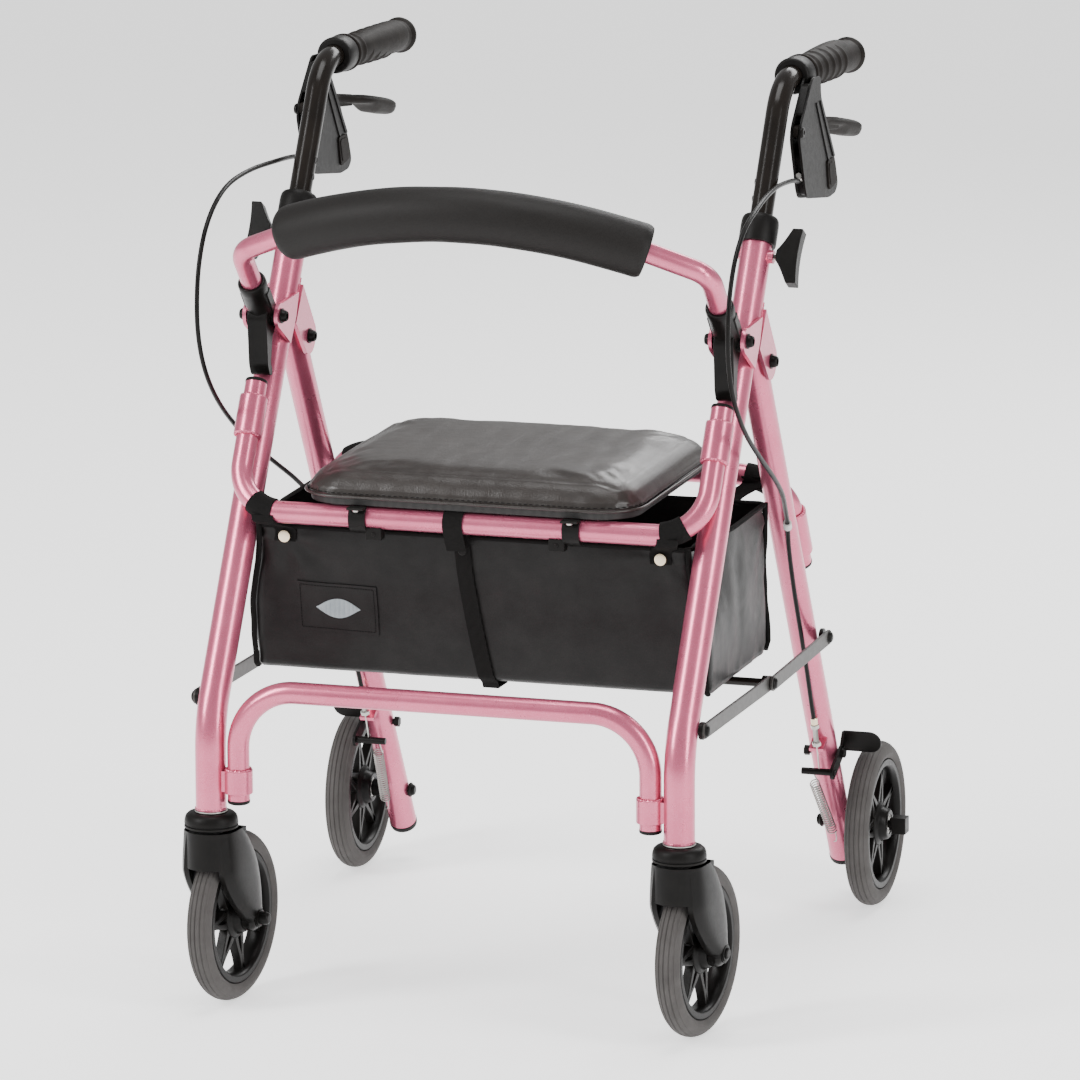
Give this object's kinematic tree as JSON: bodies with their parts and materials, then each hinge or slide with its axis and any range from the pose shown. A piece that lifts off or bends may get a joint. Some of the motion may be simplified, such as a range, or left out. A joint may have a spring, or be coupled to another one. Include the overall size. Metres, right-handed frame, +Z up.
{
  "type": "rollator walker",
  "caption": "Folding four-wheeled rollator walker with swivelling front casters, padded seat, bowed back rest, under-seat bag and cable brakes.",
  "frame": {"origin": "on the floor, under the middle of the whole walker", "axes": "+Z up, +Y towards the person who pushes it, so the front casters are at -Y; +X across to the right in a view from the front"},
  "size_m": [0.661, 0.7401, 0.9553],
  "materials": {
    "pink_paint": "satin metallic rose",
    "black_tube": "gloss black anodised",
    "black_plastic": "matte moulded",
    "tyre": "matte grey",
    "grip_rubber": "soft ribbed rubber",
    "seat_vinyl": "satin grained vinyl",
    "bag_vinyl": "satin coated cloth",
    "seat_board": "matte black board",
    "foam": "fine closed-cell foam",
    "steel": "zinc plated",
    "grey_link": "dark grey satin"
  },
  "bodies": {
    "front_frame": {"front_leg_left": "pink_paint", "front_leg_right": "pink_paint", "height_collar_left": "black_plastic", "height_collar_right": "black_plastic", "fold_bolt_left": "black_plastic", "fold_bolt_right": "black_plastic", "back_bolt_left": "black_plastic", "back_bolt_right": "black_plastic", "seat_rail_front": "pink_paint", "lower_crossbar": "pink_paint", "bag": "bag_vinyl", "pull_strap": "bag_vinyl", "brake_cable_left": "black_plastic", "brake_cable_right": "black_plastic"},
    "rear_frame": {"rear_leg_left": "pink_paint", "rear_leg_right": "pink_paint", "seat_rail_rear": "pink_paint", "rear_axle_left": "black_plastic", "rear_axle_right": "black_plastic", "brake_spring_left": "steel", "brake_spring_right": "steel"},
    "brace_front": {"brace_front_left": "grey_link", "brace_front_right": "grey_link", "brace_cross_rod": "black_tube"},
    "brace_rear": {"brace_rear_left": "grey_link", "brace_rear_right": "grey_link"},
    "back_rest": {"back_bar": "pink_paint", "back_pad": "foam", "back_holder_left": "black_plastic", "back_holder_right": "black_plastic"},
    "seat": {"seat_cushion": "seat_vinyl", "seat_board": "seat_board", "seat_clip_left": "black_plastic", "seat_clip_right": "black_plastic"},
    "handle_left": {"handle_tube_left": "black_tube", "grip_left": "grip_rubber", "brake_housing_left": "black_plastic"},
    "lever_left": {"brake_lever_left": "black_plastic"},
    "knob_left": {"height_knob_left": "black_plastic"},
    "brake_left": {"brake_arm_left": "black_plastic"},
    "caster_left": {"caster_fork_left": "black_plastic", "caster_bearing_left": "black_plastic", "caster_axle_left": "black_plastic"},
    "front_wheel_left": {"front_wheel_left_tyre": "tyre", "front_wheel_left_hub": "black_plastic"},
    "rear_wheel_left": {"rear_wheel_left_tyre": "tyre", "rear_wheel_left_hub": "black_plastic"},
    "handle_right": {"handle_tube_right": "black_tube", "grip_right": "grip_rubber", "brake_housing_right": "black_plastic"},
    "lever_right": {"brake_lever_right": "black_plastic"},
    "knob_right": {"height_knob_right": "black_plastic"},
    "brake_right": {"brake_arm_right": "black_plastic"},
    "caster_right": {"caster_fork_right": "black_plastic", "caster_bearing_right": "black_plastic", "caster_axle_right": "black_plastic"},
    "front_wheel_right": {"front_wheel_right_tyre": "tyre", "front_wheel_right_hub": "black_plastic"},
    "rear_wheel_right": {"rear_wheel_right_tyre": "tyre", "rear_wheel_right_hub": "black_plastic"}
  },
  "joints": [
    {"name": "rear_fold", "type": "hinge", "parent": "front_frame", "child": "rear_frame", "pos_m": [0, -0.05596, 0.662], "axis": [1, 0, 0], "range_deg": [-30, 0], "deforming": ["bag", "pull_strap", "brake_cable_left", "brake_cable_right"]},
    {"name": "brace_front_fold", "type": "hinge", "parent": "front_frame", "child": "brace_front", "pos_m": [0, -0.3077, 0.3275], "axis": [1, 0, 0], "range_deg": [0, 38.5], "deforming": ["bag", "pull_strap"]},
    {"name": "brace_rear_fold", "type": "hinge", "parent": "rear_frame", "child": "brace_rear", "pos_m": [0, 0.1497, 0.324], "axis": [1, 0, 0], "range_deg": [-43, 0], "deforming": ["bag", "pull_strap"]},
    {"name": "back_flip", "type": "hinge", "parent": "front_frame", "child": "back_rest", "pos_m": [0, -0.1443, 0.6995], "axis": [1, 0, 0], "range_deg": [-70, 0]},
    {"name": "seat_flip", "type": "hinge", "parent": "front_frame", "child": "seat", "pos_m": [0, -0.2429, 0.513], "axis": [1, 0, 0], "range_deg": [0, 66]},
    {"name": "height_left", "type": "slide", "parent": "front_frame", "child": "handle_left", "axis": [0, 0.518, 0.8554], "range_m": [-0.1, 0.03], "deforming": ["brake_cable_left"]},
    {"name": "lever_squeeze_left", "type": "hinge", "parent": "handle_left", "child": "lever_left", "pos_m": [-0.27075, 0.042, 0.8856], "axis": [1, 0, 0], "range_deg": [0, 8], "stiffness_Nm_per_rad": 2},
    {"name": "brake_press_left", "type": "hinge", "parent": "rear_frame", "child": "brake_left", "pos_m": [-0.252, 0.22799, 0.179], "axis": [1, 0, 0], "range_deg": [-6.1, 0], "deforming": ["brake_spring_left"]},
    {"name": "knob_turn_left", "type": "hinge", "parent": "front_frame", "child": "knob_left", "pos_m": [-0.252, -0.048, 0.77], "axis": [1, 0, 0], "continuous": true},
    {"name": "caster_swivel_left", "type": "hinge", "parent": "front_frame", "child": "caster_left", "pos_m": [-0.252, -0.3278, 0.195], "axis": [0, 0, 1], "continuous": true},
    {"name": "front_wheel_spin_left", "type": "hinge", "parent": "caster_left", "child": "front_wheel_left", "pos_m": [-0.24627, -0.28115, 0.0895], "axis": [0.9925, -0.1219, 0], "continuous": true},
    {"name": "rear_wheel_spin_left", "type": "hinge", "parent": "rear_frame", "child": "rear_wheel_left", "pos_m": [-0.2945, 0.2806, 0.0895], "axis": [1, 0, 0], "continuous": true},
    {"name": "height_right", "type": "slide", "parent": "front_frame", "child": "handle_right", "axis": [0, 0.518, 0.8554], "range_m": [-0.1, 0.03], "deforming": ["brake_cable_right"]},
    {"name": "lever_squeeze_right", "type": "hinge", "parent": "handle_right", "child": "lever_right", "pos_m": [0.27075, 0.042, 0.8856], "axis": [1, 0, 0], "range_deg": [0, 8], "stiffness_Nm_per_rad": 2},
    {"name": "brake_press_right", "type": "hinge", "parent": "rear_frame", "child": "brake_right", "pos_m": [0.252, 0.22799, 0.179], "axis": [1, 0, 0], "range_deg": [-6.1, 0], "deforming": ["brake_spring_right"]},
    {"name": "knob_turn_right", "type": "hinge", "parent": "front_frame", "child": "knob_right", "pos_m": [0.252, -0.048, 0.77], "axis": [1, 0, 0], "continuous": true},
    {"name": "caster_swivel_right", "type": "hinge", "parent": "front_frame", "child": "caster_right", "pos_m": [0.252, -0.3278, 0.195], "axis": [0, 0, 1], "continuous": true},
    {"name": "front_wheel_spin_right", "type": "hinge", "parent": "caster_right", "child": "front_wheel_right", "pos_m": [0.25773, -0.28115, 0.0895], "axis": [0.9925, -0.1219, 0], "continuous": true},
    {"name": "rear_wheel_spin_right", "type": "hinge", "parent": "rear_frame", "child": "rear_wheel_right", "pos_m": [0.2945, 0.2806, 0.0895], "axis": [1, 0, 0], "continuous": true}
  ],
  "couplings": [
    {"joint": "brace_front_fold", "follows": "rear_fold", "ratio": -1.263},
    {"joint": "brace_rear_fold", "follows": "rear_fold", "ratio": 1.408},
    {"joint": "brake_press_left", "follows": "lever_squeeze_left", "ratio": -0.75},
    {"joint": "brake_press_right", "follows": "lever_squeeze_right", "ratio": -0.75}
  ]
}
